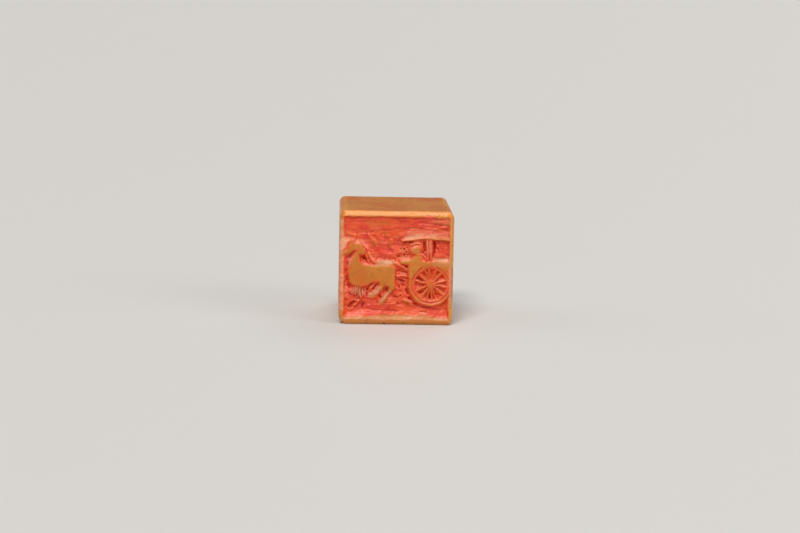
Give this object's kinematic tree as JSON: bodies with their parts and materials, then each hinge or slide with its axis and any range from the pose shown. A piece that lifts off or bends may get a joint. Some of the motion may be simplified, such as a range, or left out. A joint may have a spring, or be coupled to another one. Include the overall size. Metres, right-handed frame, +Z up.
{
  "type": "carved stone seal",
  "caption": "Squared stone seal block with rounded edges; one end is carved in relief with a horse and a canopied carriage and stained with red seal paste.",
  "frame": {"origin": "middle of the underside, where the stone rests on its long side", "axes": "+Y along the stone from the carved end to the plain end, +Z up, +X to the right when looking at the carved end"},
  "size_m": [0.024, 0.03, 0.024],
  "materials": {
    "stone": "waxy honey-coloured soapstone, hand-polished, with red seal paste in the carving"
  },
  "bodies": {
    "root": {"seal_stone": "stone"}
  },
  "joints": []
}
